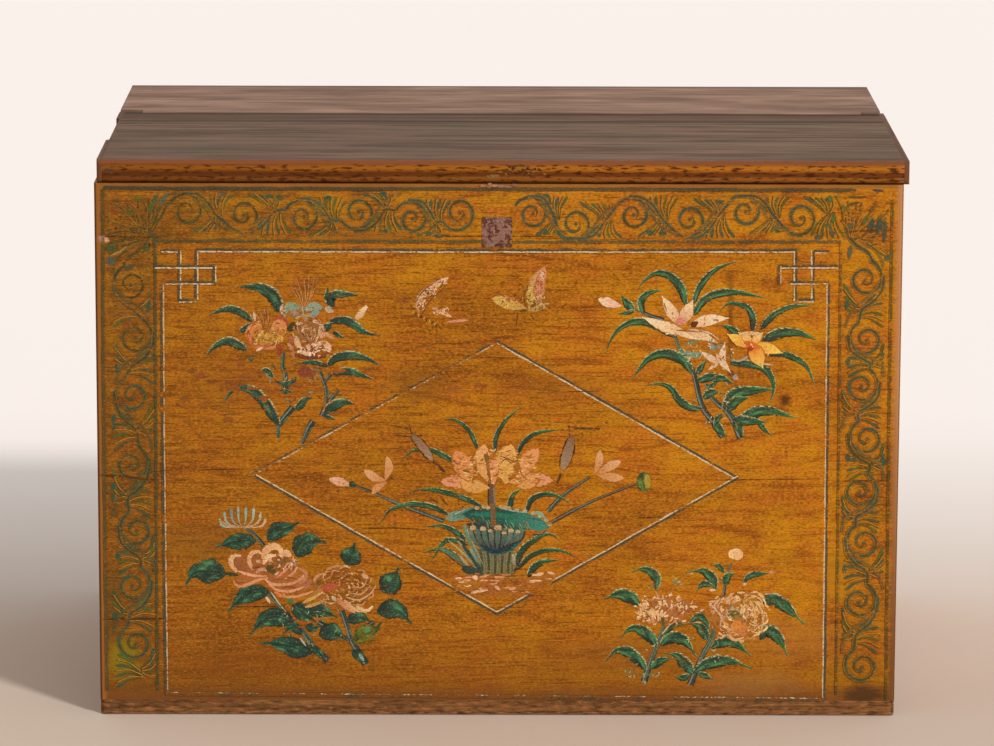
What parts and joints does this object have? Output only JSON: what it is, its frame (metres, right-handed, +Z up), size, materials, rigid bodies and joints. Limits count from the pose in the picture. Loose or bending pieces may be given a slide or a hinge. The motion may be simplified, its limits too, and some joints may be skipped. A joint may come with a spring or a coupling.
{
  "type": "painted chest",
  "caption": "Dovetailed plank storage chest with a fixed rear top board and a front lid that swings up on wooden pivot pins.",
  "frame": {"origin": "on the floor, at the middle of the carcass's underside", "axes": "+X along the width to the right as seen from the front, +Y from the painted front to the back, +Z up"},
  "size_m": [0.906, 0.6, 0.636],
  "materials": {
    "ochre_lacquer": "ochre lacquer over pine, worn, with painted ornament on the front",
    "weathered_pine": "old bare pine, darkened by handling",
    "bare_pine": "bare sawn pine",
    "hard_pegs": "bamboo and hardwood pegs"
  },
  "bodies": {
    "carcass": {"bottom_board_front": "bare_pine", "bottom_board_middle": "bare_pine", "bottom_board_rear": "bare_pine", "front_plank_1": "ochre_lacquer", "front_plank_2": "ochre_lacquer", "front_plank_3": "ochre_lacquer", "front_plank_4": "ochre_lacquer", "back_plank_1": "bare_pine", "back_plank_2": "bare_pine", "back_plank_3": "bare_pine", "left_plank_1": "ochre_lacquer", "left_plank_2": "ochre_lacquer", "left_plank_3": "ochre_lacquer", "right_plank_1": "ochre_lacquer", "right_plank_2": "ochre_lacquer", "right_plank_3": "ochre_lacquer", "seam_rail": "bare_pine", "rear_top_board": "weathered_pine", "pivot_pin_left": "hard_pegs", "pivot_pin_right": "hard_pegs", "wall_pegs": "hard_pegs", "bottom_pegs": "hard_pegs", "top_board_pegs": "hard_pegs"},
    "lid": {"lid_plank_front": "weathered_pine", "lid_plank_rear": "weathered_pine", "lid_batten_left": "bare_pine", "lid_batten_right": "bare_pine", "lid_strip_left": "weathered_pine", "lid_strip_right": "weathered_pine", "lid_pegs": "hard_pegs", "strip_nails": "hard_pegs"}
  },
  "joints": [
    {"name": "lid_pivot", "type": "hinge", "parent": "carcass", "child": "lid", "pos_m": [0, 0.074, 0.623], "axis": [-1, 0, 0], "range_deg": [0, 93]}
  ]
}
